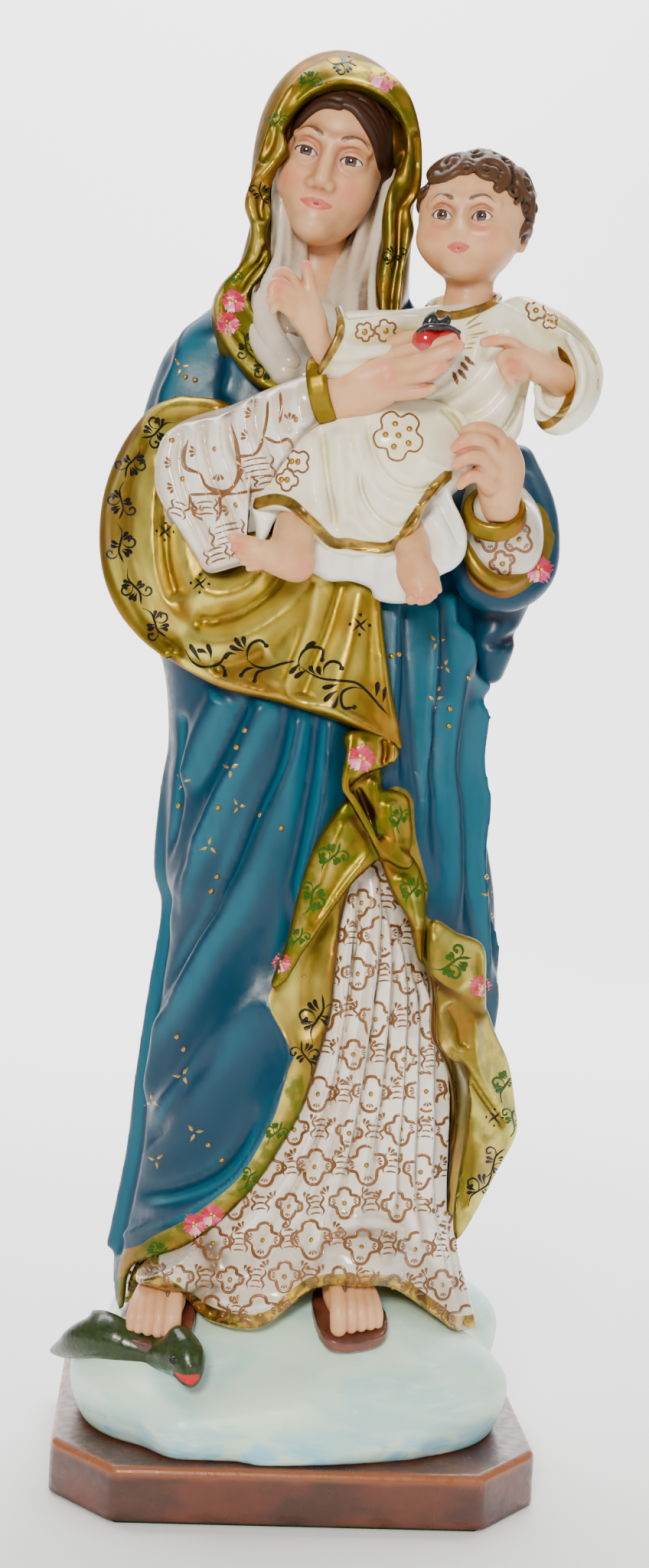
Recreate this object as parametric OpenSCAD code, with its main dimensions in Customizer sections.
// Madonna and Child: a painted plaster devotional statue, standing on a cloud over a chamfered plinth.
// The figure faces -Y, +X is on its left hand's side, and Z is up from the underside of the base.
// Angles round the figure start at the front and turn towards +X.

/* [Plinth] */
// Width of the plinth
plinth_w = 198; // [180:1:220]
// Depth of the plinth
plinth_d = 172; // [160:1:190]
// Height of the plinth above its felt
plinth_h = 21.5; // [18:0.5:28]
// Corner cut along the width
corner_x = 26; // [15:1:32]
// Corner cut along the depth
corner_y = 30; // [15:1:34]
// Bevel of the plinth's top edge
plinth_bevel = 3; // [1:0.5:4]
// Thickness of the felt under the plinth
felt_t = 1.5; // [1:0.5:3]

/* [Support rod] */
// Radius of the steel rod that holds the figure on its plinth
rod_r = 4; // [3:0.5:5]
// Length of the rod
rod_length = 400; // [380:5:410]
// Radius of the recess for the nut and washer
recess_r = 13; // [11:1:18]
// Depth of that recess above the felt's lower face
recess_depth = 12; // [10:1:14]

/* [Cast walls] */
// Wall of the hollow cast gown
gown_wall = 7; // [5:1:9]
// Thickness of the mantle
mantle_wall = 5; // [4:0.5:6]
// Thickness of the turned drapes
drape_wall = 4; // [3:0.5:5]

/* [Detail] */
// Columns round the gown
round_steps = 40; // [24:2:48]
// Depth of the gown's pleats
pleat_depth = 2.2; // [1:0.2:3]
// Radius of the wrist and neck dowels
dowel_r = 2.5; // [2:0.25:3]
// Clearance between pieces that lie against each other
gap = 0.4; // [0.2:0.1:0.8]

/* [Hidden] */

felt_colour = "darkgreen";
plinth_colour = "saddlebrown";
cloud_colour = "lightcyan";
steel_colour = "silver";
pearl_colour = "seashell";
mantle_colour = "steelblue";
gold_colour = "goldenrod";
skin_colour = "burlywood";
hair_colour = "saddlebrown";
tunic_colour = "cornsilk";
leather_colour = "sienna";
wood_colour = "tan";

plinth_top = felt_t + plinth_h;

// ---------- curves and lists ----------

// A point on the curve through b and c, with a and d before and after them
function spline(a, b, c, d, t) =
    0.5 * (2 * b + (c - a) * t + (2 * a - 5 * b + 4 * c - d) * t * t + (3 * b - a - 3 * c + d) * t * t * t);

// A list of rows, smoothed with n steps between each two
function smoothed(rows, n) = let (last = len(rows) - 1) concat(
    [for (i = [0:last - 1], j = [0:n - 1])
        spline(rows[max(i - 1, 0)], rows[i], rows[i + 1], rows[min(i + 2, last)], j / n)],
    [rows[last]]);

// Column k of a table of rows at the height z
function column(rows, k, z) = lookup(z, [for (r = rows) [r[0], r[k]]]);

function flat(lists) = [for (l = lists) each l];
function middle(points) = [for (k = [0:2]) [for (p = points) p[k]] * [for (p = points) 1] / len(points)];
function unit(v) = v / norm(v);

// ---------- solids made of rings ----------

// Triangles between the rows of a grid of points numbered from start
function grid_faces(rows, columns, start, wrap, flip) = [
    for (i = [0:rows - 2], j = [0:wrap ? columns - 1 : columns - 2])
        let (a = start + i * columns + j, b = start + i * columns + (j + 1) % columns,
             c = a + columns, d = b + columns)
            each flip ? [[a, c, b], [b, c, d]] : [[a, b, c], [b, d, c]]];

// A closed solid through a stack of rings, with a flat fan at each end
module skin(rings) {
    rows = len(rings);
    columns = len(rings[0]);
    low = rows * columns;
    polyhedron(
        points = concat(flat(rings), [middle(rings[0]), middle(rings[rows - 1])]),
        faces = concat(
            grid_faces(rows, columns, 0, true, true),
            [for (j = [0:columns - 1]) [low, j, (j + 1) % columns]],
            [for (j = [0:columns - 1])
                [low + 1, low - columns + (j + 1) % columns, low - columns + j]]));
}

// A sheet with a thickness, between an outer and an inner grid of points
module slab(outer, inner, wrap = false) {
    rows = len(outer);
    columns = len(outer[0]);
    n = rows * columns;
    top = n - columns;
    strips = wrap ? columns - 1 : columns - 2;
    polyhedron(
        points = concat(flat(outer), flat(inner)),
        faces = concat(
            grid_faces(rows, columns, 0, wrap, true),
            grid_faces(rows, columns, n, wrap, false),
            [for (j = [0:strips]) let (k = (j + 1) % columns) each [[j, k, n + j], [k, n + k, n + j]]],
            [for (j = [0:strips]) let (k = (j + 1) % columns)
                each [[top + j, n + top + j, top + k], [top + k, n + top + j, n + top + k]]],
            wrap ? [] : [for (i = [0:rows - 2]) let (a = i * columns, c = a + columns)
                each [[a, n + a, c], [c, n + a, n + c]]],
            wrap ? [] : [for (i = [0:rows - 2]) let (a = (i + 1) * columns - 1, c = a + columns)
                each [[a, c, n + a], [c, n + c, n + a]]]));
}

// A round limb along a path of [x, y, z, radius, flatness], where flatness scales the radius along Z
module limb(rows, sides = 12, steps = 3) {
    path = smoothed(rows, steps);
    last = len(path) - 1;
    skin([for (i = [0:last])
        let (p = path[i],
             before = path[max(i - 1, 0)],
             after = path[min(i + 1, last)],
             along = unit([after[0] - before[0], after[1] - before[1], after[2] - before[2]]),
             side = unit(cross(along, abs(along[2]) > 0.9 ? [0, -1, 0] : [0, 0, 1])),
             up = cross(side, along))
            [for (j = [0:sides - 1]) let (t = -360 * j / sides)
                [p[0], p[1], p[2]] + p[3] * (side * cos(t) + up * p[4] * sin(t))]]);
}

// An egg shape of the given half sizes
module egg(size, sides = 20, rows = 12) {
    skin([for (i = [1:rows - 1]) let (t = -90 + 180 * i / rows)
        [for (j = [0:sides - 1]) let (a = 360 * j / sides)
            [size[0] * cos(t) * sin(a), -size[1] * cos(t) * cos(a), size[2] * sin(t)]]]);
}

// ---------- the figure's own shape ----------

// Height, middle in X and Y, half width, depth in front and depth behind
figure_rows = smoothed([
    [60, 0, 4, 75, 60, 52],
    [85, 1, 4, 68, 56, 50],
    [115, 2, 4, 61, 52, 48],
    [160, 5, 4, 57, 49, 46],
    [210, 7, 5, 53, 46, 44],
    [270, 6, 5, 49, 43, 42],
    [330, 4, 5, 46, 41, 41],
    [380, -2, 5, 47, 38, 39],
    [430, -7, 5, 60, 37, 38],
    [460, -9, 4, 59, 32, 35],
    [478, -10, 3, 49, 27, 30],
    [490, -10, 2, 30, 20, 22],
    [502, -10, 2, 15, 15, 16]
], 3);

// A point on the figure, off millimetres outside it, at the angle a and the height z
function on_figure(a, z, off = 0) = [
    column(figure_rows, 1, z) + (column(figure_rows, 3, z) + off) * sin(a),
    column(figure_rows, 2, z) - (column(figure_rows, cos(a) > 0 ? 4 : 5, z) + off) * cos(a),
    z];

// ---------- base ----------

module plinth_outline(grow = 0) {
    x = plinth_w / 2 + grow;
    y = plinth_d / 2 + grow;
    polygon([
        [-x + corner_x, -y], [x - corner_x, -y], [x, -y + corner_y], [x, y - corner_y],
        [x - corner_x, y], [-x + corner_x, y], [-x, y - corner_y], [-x, -y + corner_y]
    ]);
}

module base_felt() {
    color(felt_colour)
        difference() {
            linear_extrude(felt_t) plinth_outline(-2);
            translate([0, 0, -1]) cylinder(r = recess_r, h = felt_t + 2, $fn = 64);
        }
}

module plinth() {
    bevel_steps = 3;
    color(plinth_colour)
        difference() {
            union() {
                translate([0, 0, felt_t])
                    linear_extrude(plinth_h - plinth_bevel) plinth_outline();
                for (i = [0:bevel_steps - 1])
                    translate([0, 0, plinth_top - plinth_bevel * (1 - i / bevel_steps)])
                        linear_extrude(plinth_bevel / bevel_steps)
                            plinth_outline(-plinth_bevel * (1 - cos(90 * (i + 1) / bevel_steps)));
            }
            translate([0, 0, felt_t - 1])
                cylinder(r = recess_r, h = recess_depth - felt_t + 1, $fn = 64);
            cylinder(r = rod_r + 0.3, h = 2 * plinth_top, $fn = 64);
        }
}

// Height of the cloud's top over a point of its outline, as a share of the way in
cloud_rows = [[0, 100], [6, 98], [16, 93], [27, 84], [35, 73], [39.5, 60], [41, 45], [41.6, 28]];

module cloud_mound() {
    color(cloud_colour)
        difference() {
            skin([for (r = cloud_rows)
                [for (j = [0:31]) let (a = 360 * j / 32, s = r[1] / 100, wave = 1 + 0.02 * sin(3 * a + 40))
                    [-2 + 88 * s * wave * sin(a), 1 - 75 * s * wave * cos(a), plinth_top + r[0]]]]);
            cylinder(r = rod_r + 0.3, h = 120, $fn = 64);
        }
}

// The snake lies across the cloud's left front, with its head under the right foot
module snake() {
    color("olivedrab")
        limb([
            [-96, -12, 60, 1.5, 1], [-90, -22, 63, 5, 0.8], [-80, -38, 64, 8, 0.8],
            [-68, -50, 61, 9, 0.75], [-56, -60, 58, 9.5, 0.7], [-48, -68, 52, 8, 0.7], [-43, -74, 48, 3.5, 0.7]
        ], 10, 3);
}

// ---------- support ----------

rod_low = felt_t + 2;

module support_rod() {
    color(steel_colour) translate([0, 0, rod_low]) cylinder(r = rod_r, h = rod_length, $fn = 48);
}

module rod_washer() {
    color(steel_colour)
        translate([0, 0, recess_depth - 1.6])
            difference() {
                cylinder(r = 11, h = 1.6, $fn = 48);
                translate([0, 0, -1]) cylinder(r = rod_r + 0.3, h = 4, $fn = 48);
            }
}

module rod_nut() {
    nut_h = 6.5;
    color(steel_colour)
        translate([0, 0, recess_depth - 1.6 - nut_h])
            difference() {
                cylinder(r = 7.5, h = nut_h, $fn = 6);
                translate([0, 0, -1]) cylinder(r = rod_r, h = nut_h + 2, $fn = 48);
            }
}

// ---------- gown ----------

skirt_low = 64;
skirt_high = 372;
skirt_rows = 13;
function skirt_z(i) = skirt_low + (skirt_high - skirt_low) * i / (skirt_rows - 1);

// Pleats fade towards the waist
function pleat(a, z) = pleat_depth * (1 - (z - skirt_low) / (skirt_high - skirt_low)) * sin(10 * a);

function skirt_ring(z, off) = [for (j = [0:round_steps - 1]) let (a = 360 * j / round_steps)
    on_figure(a, z, off + pleat(a, z))];

module gown_skirt() {
    color(pearl_colour)
        slab([for (i = [0:skirt_rows - 1]) skirt_ring(skirt_z(i), 0)],
             [for (i = [0:skirt_rows - 1]) skirt_ring(skirt_z(i), -gown_wall)], true);
}

module gown_bodice() {
    color(pearl_colour)
        difference() {
            skin([for (z = [skirt_high + gap, 395, 420, 445, 465, 480, 490, 498])
                [for (j = [0:27]) on_figure(360 * j / 28, z, 0)]]);
            cylinder(r = rod_r + 0.1, h = rod_low + rod_length + 1, $fn = 48);
            translate([-16, 1, 480]) cylinder(r = dowel_r + 0.1, h = 40, $fn = 32);
        }
}

// ---------- mantle ----------

// A C-shaped shell round the figure: height, first and last angle of the cloth, and its distance from the figure
mantle_rows = smoothed([
    [84, 160, 265, 4],
    [108, 122, 317, 6],
    [133, 100, 342, 8],
    [160, 88, 353, 9],
    [200, 68, 337, 9],
    [240, 36, 345, 9],
    [283, 20, 360, 8],
    [320, 21, 374, 7],
    [372, 27, 340, 5],
    [425, 85, 292, 4],
    [460, 78, 300, 3],
    [486, 64, 306, 3]
], 2);
mantle_levels = [84, 96, 108, 120, 133, 160, 188, 215, 240, 262, 285, 310, 340, 372, 400, 425, 445, 460, 472, 480, 486];
mantle_columns = 30;

function mantle_ring(z, off) = let (
    first = column(mantle_rows, 1, z), last = column(mantle_rows, 2, z), out = column(mantle_rows, 3, z))
    [for (j = [0:mantle_columns - 1])
        let (a = first + (last - first) * j / (mantle_columns - 1))
            on_figure(a, z, out + off + 1.2 * sin(9 * a))];

module mantle() {
    color(mantle_colour)
        slab([for (z = mantle_levels) mantle_ring(z, mantle_wall)], [for (z = mantle_levels) mantle_ring(z, 0)]);
}

// A border of cloth facing forwards: height, X of both edges, Y of both edges
module border(rows, columns = 5) {
    function sheet(off) = [for (r = smoothed(rows, 2)) [for (j = [0:columns - 1]) let (s = j / (columns - 1))
        [r[1] + (r[2] - r[1]) * s, r[3] + (r[4] - r[3]) * s - off, r[0]]]];
    slab(sheet(drape_wall), sheet(0));
}

// The gold lined edge that falls in folds from the drape and runs down beside the gown to the hem
module mantle_edge_cascade() {
    color(gold_colour)
        border([
            [92, -70, -48, -42, -53], [112, -44, -28, -54, -56], [133, -20, -13, -57, -57], [155, -8, -2, -56, -56],
            [180, -12, 4, -54, -53], [205, -19, 8, -52, -50], [235, -12, 9, -51, -48], [262, -4, 22, -51, -48],
            [285, 7, 25, -51, -49], [306, 17, 29, -51, -49]
        ]);
}

// The corner of the mantle that swings out beside and behind the left side, with its lining to the front
module mantle_back_corner() {
    color(gold_colour)
        border([
            [112, 60, 66, -12, 4], [133, 62, 80, -16, 10], [147, 63, 88, -18, 12], [165, 61, 86, -22, 10],
            [188, 52, 77, -34, 2], [205, 50, 70, -38, -8], [228, 43, 67, -44, -14], [245, 34, 46, -47, -40],
            [262, 25, 38, -49, -46]
        ]);
}

// The gold lining that hangs across the front, from the right arm to the middle
drape_low = [[-70, 344], [-45, 333], [-15, 326], [10, 316], [27, 308]];
drape_high = 372;
module mantle_front_drape() {
    columns = 13;
    function corner(i, j, off) = let (x = -62 + 88 * j / (columns - 1), s = i / 5, low = lookup(x, drape_low))
        [x, -53 + 6 * s + 0.006 * (x - 5) * (x - 5) + 1.5 * sin(18 * x) - off, low + (drape_high - low) * s];
    function sheet(off) = [for (i = [0:5]) [for (j = [0:columns - 1]) corner(i, j, off)]];
    color(gold_colour) slab(sheet(drape_wall), sheet(0));
}

// The loop of mantle that hangs round the right forearm
module mantle_right_arm_drape() {
    levels = [346, 360, 376, 394, 412, 428, 440];
    half = [[346, 17], [360, 32], [376, 42], [394, 46], [412, 44], [428, 37], [440, 28]];
    function ring(z, off) = [for (j = [0:17]) let (a = 205 + 150 * j / 17)
        [-52 + (lookup(z, half) + off) * sin(a), -8 - (lookup(z, half) + off) * cos(a), z]];
    color(gold_colour)
        slab([for (z = levels) ring(z, 0)], [for (z = levels) ring(z, -drape_wall)]);
}

// The mantle over the left forearm
module mantle_left_arm_drape() {
    levels = [352, 366, 382, 398, 414, 428, 440];
    half = [[352, 14], [366, 24], [382, 33], [398, 35], [414, 31], [428, 24], [440, 15]];
    function ring(z, off) = [for (j = [0:15]) let (a = 5 + 150 * j / 15)
        [57 + (lookup(z, half) + off) * sin(a), -14 - (lookup(z, half) + off) * cos(a), z]];
    color(mantle_colour)
        slab([for (z = levels) ring(z, 0)], [for (z = levels) ring(z, -drape_wall)]);
}

// ---------- head and its covering ----------

head_at = [-9, -3, 546];
head_tilt = [3, 12, -6];

module at_head() {
    translate(head_at) rotate(head_tilt) children();
}

// Height in the head's frame, half width, depth in front, depth behind, from the neck to the crown
face_rows = smoothed([
    [-47, 14, 12, 16], [-41, 12.5, 12, 15], [-36, 12.5, 19, 14], [-30, 14, 26, 15], [-20, 19.5, 27, 18],
    [-8, 22.5, 27, 24], [4, 24, 27, 28], [16, 23.5, 26, 29], [25, 18, 19, 23], [31, 8, 8, 12]
], 2);

module madonna_head() {
    socket_r = 4.6;
    color(skin_colour)
        difference() {
            at_head() skin([for (r = face_rows) [for (j = [0:21]) let (a = 360 * j / 22)
                [r[1] * sin(a), -(cos(a) > 0 ? r[2] : r[3]) * cos(a), r[0]]]]);
            translate([-16, 1, 480]) cylinder(r = dowel_r + 0.1, h = 36, $fn = 32);
            at_head() for (s = [-1, 1]) translate([9.5 * s, -19, 3]) rotate([90, 0, 0])
                cylinder(r = socket_r, h = 20, $fn = 32);
        }
}

module madonna_glass_eyes() {
    color("white")
        at_head() for (s = [-1, 1]) translate([9.5 * s, -23.4, 3]) sphere(r = 4.3, $fn = 32);
}

module madonna_hair() {
    function ring(t, off) = [for (j = [0:15]) let (a = -98 + 196 * j / 15)
        [(25 + off) * cos(t) * sin(a), -(29.5 + off) * cos(t) * cos(a), 5 + (29 + off) * sin(t)]];
    color(hair_colour)
        at_head() slab([for (t = [38, 50, 62, 74]) ring(t, 2.5)], [for (t = [38, 50, 62, 74]) ring(t, 0.4)]);
}

// A hood round the head: height in the head's frame, half width, depth in front, depth behind, opening angle
hood_rows = smoothed([
    [-58, 33, 14, 33, 34], [-40, 31, 15, 36, 38], [-22, 31, 17, 39, 44], [-4, 32, 22, 41, 44],
    [14, 32, 28, 41, 38], [27, 29, 34, 37, 12]
], 2);
module hood() {
    function ring(r, off) = [for (j = [0:21]) let (a = r[4] + (360 - 2 * r[4]) * j / 21)
        [(r[1] + off) * sin(a), -((cos(a) > 0 ? r[2] : r[3]) + off) * cos(a), r[0]]];
    color(gold_colour)
        at_head() {
            slab([for (r = hood_rows) ring(r, 4)], [for (r = hood_rows) ring(r, 0)]);
            translate([0, 0, 27 + gap]) skin([for (r = [[0, 33, 38, 41], [9, 28, 31, 35], [16, 20, 22, 26], [20.5, 9, 9, 13]])
                [for (j = [0:21]) let (a = 360 * j / 22)
                    [r[1] * sin(a), -(cos(a) > 0 ? r[2] : r[3]) * cos(a), r[0]]]]);
        }
}

module veil() {
    levels = [-60, -44, -26, -10, 4];
    wide = [[-60, 27], [-44, 26], [-26, 26.5], [-10, 27], [4, 27]];
    color("white")
        at_head() for (s = [-1, 1]) mirror([s > 0 ? 0 : 1, 0, 0])
            slab([for (z = levels) [for (j = [0:4]) let (a = 40 + 22 * j)
                    [(lookup(z, wide) + 3) * sin(a), -21 * cos(a), z]]],
                 [for (z = levels) [for (j = [0:4]) let (a = 40 + 22 * j)
                    [lookup(z, wide) * sin(a), -18 * cos(a), z]]]);
}

module neck_dowel() {
    color(wood_colour) translate([-16, 1, 481]) cylinder(r = dowel_r, h = 34, $fn = 32);
}

// ---------- arms and hands ----------

// A ring along an axis turned by the given angles
module cuff(at, turn, inner, outer, length) {
    translate(at) rotate(turn)
        rotate_extrude($fn = 64)
            polygon([[inner, 0], [outer, 0], [outer + 0.8, length * 0.5], [outer, length], [inner, length]]);
}

right_wrist = [-10, -64, 448];
right_wrist_turn = [0, 72, -18];
left_wrist = [61, -56, 411];
left_wrist_turn = [40, 0, 12];

module right_sleeve() {
    color(pearl_colour)
        limb([[-66, 4, 432, 19, 1], [-64, -16, 418, 25, 1.05], [-52, -32, 415, 27, 1.1], [-38, -46, 424, 22, 1],
              [-24, -56, 437, 15, 0.95], [-13, -63, 446, 11.5, 1]], 16, 2);
}

module right_cuff() {
    color(gold_colour) cuff([-13, -63, 446.5], right_wrist_turn, 8, 12, 5);
}

// A hand made of a palm and fingers, each finger a chain of points with one radius
module hand(palm, fingers, sides = 8) {
    for (p = palm) hull() for (q = p) translate([q[0], q[1], q[2]]) sphere(r = q[3], $fn = sides);
    for (f = fingers, i = [0:len(f) - 3])
        hull() {
            translate(f[i]) sphere(r = f[len(f) - 1], $fn = sides);
            translate(f[i + 1]) sphere(r = f[len(f) - 1], $fn = sides);
        }
}

module right_hand() {
    color(skin_colour)
        difference() {
            hand([
                [[-6, -66, 449, 7], [8, -70, 452, 7.5]],
                [[8, -70, 455, 6.5], [8, -70, 449, 6.5], [18, -74, 459, 5.5], [18, -74, 451, 5.5]]
            ], [
                [[18, -76, 462], [29, -81, 466], [39, -84, 468], 2.9],
                [[18, -75, 457], [31, -81, 462], [43, -85, 466], 3.0],
                [[18, -74, 453], [30, -79, 457], [39, -83, 461], 2.9],
                [[17, -73, 449], [26, -77, 451], [32, -80, 454], 2.6],
                [[10, -74, 460], [18, -79, 464], [26, -83, 469], 3.1]
            ]);
            translate([-16, -62, 446.5]) rotate([0, 76, -17]) cylinder(r = dowel_r + 0.1, h = 16, $fn = 24);
        }
}

module right_wrist_dowel() {
    color(wood_colour) translate([-21, -60.5, 445.3]) rotate([0, 76, -17]) cylinder(r = dowel_r, h = 20, $fn = 24);
}

module left_sleeve() {
    color(pearl_colour)
        limb([[58, 0, 420, 17, 1], [66, -18, 408, 21, 1], [66, -36, 402, 20, 1], [63, -50, 406, 13, 1]], 16, 2);
}

module left_cuff() {
    color(gold_colour) cuff([62, -51, 406], [62, 0, 8], 8, 13, 5);
}

module left_hand() {
    color(skin_colour)
        difference() {
            hand([
                [[61, -58, 411, 7.5], [58, -66, 420, 8]],
                [[55, -67, 426, 6], [62, -64, 424, 6], [58, -66, 418, 7]]
            ], [
                [[52, -70, 430], [48, -74, 436], [46, -76, 439], 2.9],
                [[55, -69, 432], [51, -73, 439], [50, -75, 442], 3],
                [[59, -67, 431], [56, -71, 439], [54, -73, 443], 3],
                [[62, -65, 429], [61, -68, 437], [59, -70, 441], 2.7],
                [[52, -66, 421], [47, -70, 426], [44, -73, 430], 3.1]
            ]);
            translate([62, -50, 404]) rotate([52, 0, 8]) cylinder(r = dowel_r + 0.1, h = 16, $fn = 24);
        }
}

module left_wrist_dowel() {
    color(wood_colour) translate([62.4, -46.8, 401.5]) rotate([52, 0, 8]) cylinder(r = dowel_r, h = 18, $fn = 24);
}

// ---------- feet ----------

module foot(at, turn) {
    color(skin_colour)
        translate(at) rotate(turn)
            hull() {
                translate([0, 14, 8]) sphere(r = 8, $fn = 16);
                translate([-8.5, -9, 4]) sphere(r = 4.6, $fn = 14);
                translate([8.5, -9, 4]) sphere(r = 4.4, $fn = 14);
                translate([-1, -14, 3.5]) sphere(r = 4.4, $fn = 14);
            }
}

module sandal(at, turn) {
    sole = 3;
    color(leather_colour)
        translate(at) rotate(turn)
            translate([0, 0, -sole])
                linear_extrude(sole)
                    polygon([for (i = [0:23]) let (a = 15 * i)
                        [14.5 * sin(a) * (1 + 0.12 * cos(a)), 2 - 20 * cos(a)]]);
}

right_foot_at = [-57, -54, 68];
left_foot_at = [21, -60, 68];
right_foot_turn = [14, -3, -8];
left_foot_turn = [14, 3, 6];

module right_foot() { foot(right_foot_at, right_foot_turn); }
module left_foot() { foot(left_foot_at, left_foot_turn); }
module right_sandal() { sandal(right_foot_at, right_foot_turn); }
module left_sandal() { sandal(left_foot_at, left_foot_turn); }

// ---------- child ----------

child_head_at = [47, -40, 522];
child_head_tilt = [2, 2, -6];

module at_child_head() {
    translate(child_head_at) rotate(child_head_tilt) children();
}

module child_torso() {
    rows = smoothed([
        [438, 44, -48, 24, 19, 18], [450, 46, -47, 25, 19, 18], [464, 48, -45, 27, 18, 17],
        [478, 50, -43, 27, 16, 15], [488, 50, -41, 19, 13, 13], [494, 49, -41, 11, 10, 10]
    ], 2);
    color(tunic_colour)
        difference() {
            skin([for (r = rows) [for (j = [0:19]) let (a = 360 * j / 20)
                [r[1] + r[3] * sin(a), r[2] - (cos(a) > 0 ? r[4] : r[5]) * cos(a), r[0]]]]);
            translate([48, -41, 478]) cylinder(r = dowel_r + 0.1, h = 30, $fn = 24);
            translate([47, -46, 452]) rotate([-90, 0, 0]) cylinder(r = dowel_r + 0.1, h = 60, $fn = 24);
        }
}

module child_skirt() {
    color(tunic_colour)
        limb([[40, -54, 420, 22, 1], [26, -62, 422, 25, 1], [10, -68, 418, 24, 1], [-4, -68, 410, 18, 1.1],
              [-16, -66, 406, 9, 1.3]], 18, 2);
}

module child_cloth() {
    color("white")
        slab([for (i = [0:4]) [for (j = [0:9]) [-24 + 7.6 * j, -61 + 1.2 * sin(70 * j), 372 + 3.5 * i + 0.25 * j]]],
             [for (i = [0:4]) [for (j = [0:9]) [-24 + 7.6 * j, -57 + 1.2 * sin(70 * j), 372 + 3.5 * i + 0.25 * j]]]);
}

module child_right_sleeve() {
    color(tunic_colour)
        limb([[28, -52, 474, 9, 1], [12, -62, 468, 11, 1], [-2, -70, 468, 11, 1], [-12, -75, 472, 10, 1]], 12, 2);
}

module child_left_sleeve() {
    color(tunic_colour)
        limb([[70, -44, 478, 13, 1], [84, -50, 464, 15, 1], [90, -56, 452, 15, 1], [84, -62, 449, 11, 1.1]], 12, 2);
}

module child_right_hand() {
    color(skin_colour)
        hand([
            [[-14, -77, 475, 5.5], [-21, -78, 484, 5]],
            [[-24, -78, 489, 5.5], [-19, -78, 490, 5]]
        ], [
            [[-18, -79, 493], [-17, -80, 498], [-18, -80, 501], 2.3],
            [[-23, -80, 494], [-26, -81, 497], [-29, -82, 495], 2.4],
            [[-25, -80, 491], [-29, -82, 493], [-31, -83, 491], 2.4],
            [[-26, -79, 488], [-30, -81, 489], [-31, -82, 487], 2.3]
        ]);
}

module child_left_hand() {
    color(skin_colour)
        hand([
            [[82, -66, 459, 5.8], [74, -70, 466, 5.6]],
            [[70, -71, 469, 5.5], [67, -71, 465, 4.8]]
        ], [
            [[67, -73, 471], [60, -75, 472.5], [54, -76, 472], 2.3],
            [[65, -73, 467], [61, -76, 465], [63, -77, 462], 2.3],
            [[66, -73, 463], [63, -76, 461], [65, -77, 458], 2.3],
            [[69, -74, 471], [64, -77, 471], [60, -78, 469], 2.4]
        ]);
}

module child_right_leg() {
    color(skin_colour)
        limb([[-8, -70, 398, 9, 1], [-16, -71, 390, 8.5, 1], [-24, -73, 386, 7, 1], [-33, -76, 387, 5, 1],
              [-41, -79, 391, 2.6, 1]], 12, 2);
}

module child_left_leg() {
    color(skin_colour)
        limb([[29, -66, 396, 7, 1], [31, -69, 386, 6.5, 1], [33, -74, 378, 6.8, 0.9], [33, -81, 372, 5.5, 0.9],
              [33, -85, 370, 3, 0.9]], 12, 2);
}

child_face_rows = smoothed([
    [-25, 6, 15, 2], [-21, 12, 19, 10], [-12, 18.5, 21, 18], [-2, 21, 21.5, 22], [8, 21, 21, 23],
    [16, 17, 17, 19], [21, 10, 10, 12], [23.5, 3.5, 3.5, 5]
], 2);

module child_head() {
    color(skin_colour)
        difference() {
            union() {
                at_child_head() skin([for (r = child_face_rows) [for (j = [0:19]) let (a = 360 * j / 20)
                    [r[1] * sin(a), -(cos(a) > 0 ? r[2] : r[3]) * cos(a), r[0]]]]);
                limb([[48.5, -41, 494.5, 9.5, 1], [48, -41, 500, 9, 1], [48, -40, 508, 9, 1]], 14, 2);
            }
            translate([48, -41, 478]) cylinder(r = dowel_r + 0.1, h = 27, $fn = 24);
            at_child_head() for (s = [-1, 1]) translate([8 * s, -19, 0]) sphere(r = 3.4, $fn = 24);
        }
}

module child_glass_eyes() {
    color("white")
        at_child_head() for (s = [-1, 1]) translate([8 * s, -17.6, 0]) sphere(r = 3.3, $fn = 32);
}

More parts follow.
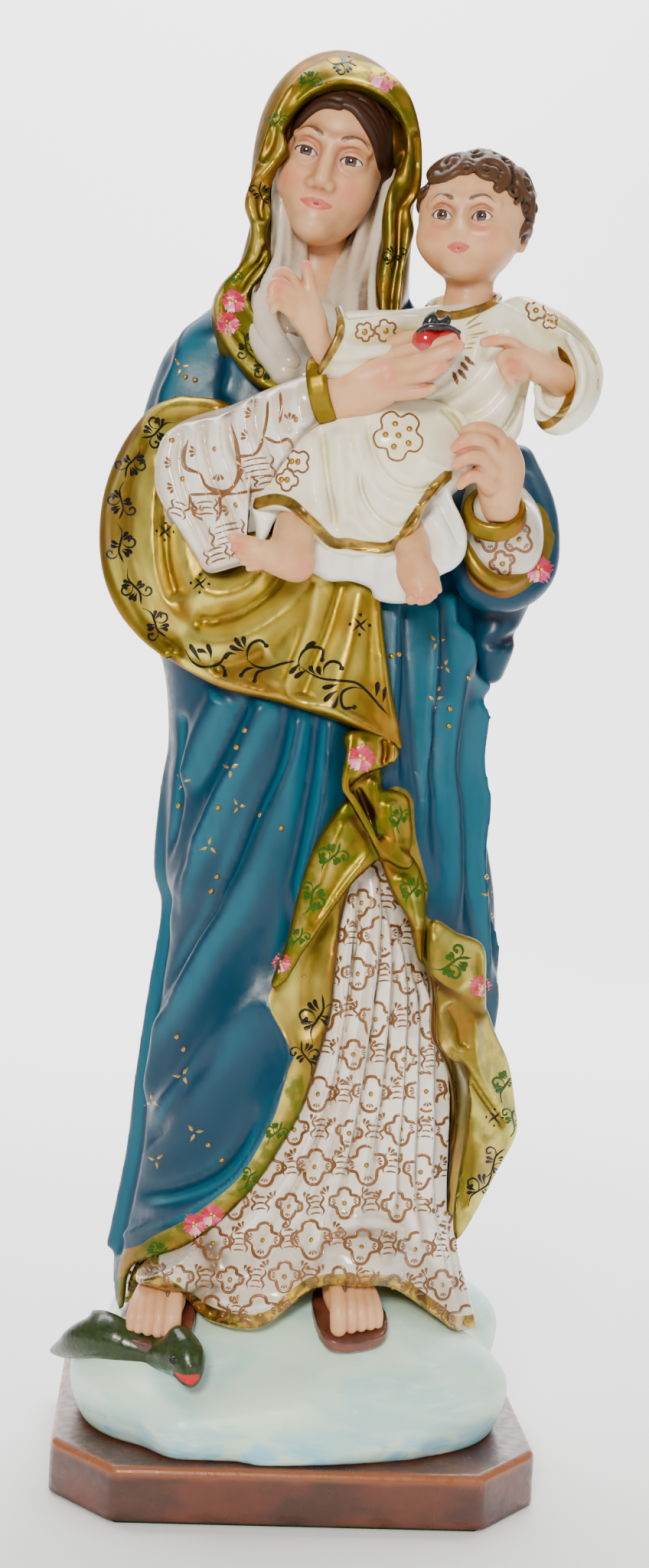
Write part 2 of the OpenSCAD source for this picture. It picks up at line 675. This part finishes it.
// A cap of curls round the crown, the back and the sides
module child_curls() {
    function ring(t, off) = let (open = t < 40 ? 62 : 0)
        [for (j = [0:19]) let (a = open + (360 - 2 * open) * j / 19)
            [(22.5 + off) * cos(t) * sin(a), -(23.5 + off) * cos(t) * cos(a) + 0.5, 2 + (22.5 + off) * sin(t)]];
    levels = [-42, -22, -4, 14, 30, 39];
    color(hair_colour)
        at_child_head() {
            slab([for (t = levels) ring(t, 3)], [for (t = levels) ring(t, 0.4)]);
            slab([for (t = [42, 55, 68, 80]) [for (j = [0:19]) let (a = 18 * j)
                    [(22.5 + 3.5) * cos(t) * sin(a), -(23.5 + 3.5) * cos(t) * cos(a) + 0.5, 2 + 26 * sin(t)]]],
                 [for (t = [42, 55, 68, 80]) [for (j = [0:19]) let (a = 18 * j)
                    [22.9 * cos(t) * sin(a), -23.9 * cos(t) * cos(a) + 0.5, 2 + 23 * sin(t)]]], true);
        }
}

module child_neck_dowel() {
    color(wood_colour) translate([48, -41, 479]) cylinder(r = dowel_r, h = 25, $fn = 24);
}

// The pin that carries the child on the figure's chest
module child_dowel() {
    color(steel_colour) translate([47, -45, 452]) rotate([-90, 0, 0]) cylinder(r = dowel_r, h = 44, $fn = 24);
}

// ---------- heart ----------

heart_at = [36, -74, 474];

module heart() {
    color("firebrick")
        translate(heart_at) rotate([0, 14, 0])
            skin([for (r = [[-8, 1.5, 1.2], [-5, 5.5, 3.5], [0, 8.5, 5], [3.5, 8.6, 5], [6, 5.5, 3.2]])
                [for (j = [0:17]) let (a = 20 * j) [r[1] * sin(a), -r[2] * cos(a), r[0]]]]);
}

module heart_flame() {
    color("darkslategray")
        translate(heart_at) rotate([0, 14, 0])
            limb([[0, 0, 6.4, 4.4, 1], [0.5, 0, 9, 4, 1], [0, 0, 12, 2.6, 1], [0.4, 0, 14.5, 0.8, 1]], 10, 2);
}

module heart_peg() {
    color(steel_colour) translate([heart_at[0], heart_at[1] + 5.4, heart_at[2]]) rotate([-90, 0, 0])
        cylinder(r = 1, h = 9, $fn = 20);
}

// ---------- nodes ----------

base_felt();
plinth();
cloud_mound();
snake();
support_rod();
rod_washer();
rod_nut();
gown_skirt();
gown_bodice();
mantle();
mantle_front_drape();
mantle_right_arm_drape();
mantle_left_arm_drape();
mantle_edge_cascade();
mantle_back_corner();
hood();
veil();
madonna_head();
madonna_hair();
madonna_glass_eyes();
neck_dowel();
right_sleeve();
right_cuff();
right_hand();
right_wrist_dowel();
left_sleeve();
left_cuff();
left_hand();
left_wrist_dowel();
right_foot();
left_foot();
right_sandal();
left_sandal();
child_torso();
child_skirt();
child_cloth();
child_right_sleeve();
child_left_sleeve();
child_right_hand();
child_left_hand();
child_right_leg();
child_left_leg();
child_head();
child_curls();
child_glass_eyes();
child_neck_dowel();
child_dowel();
heart();
heart_flame();
heart_peg();
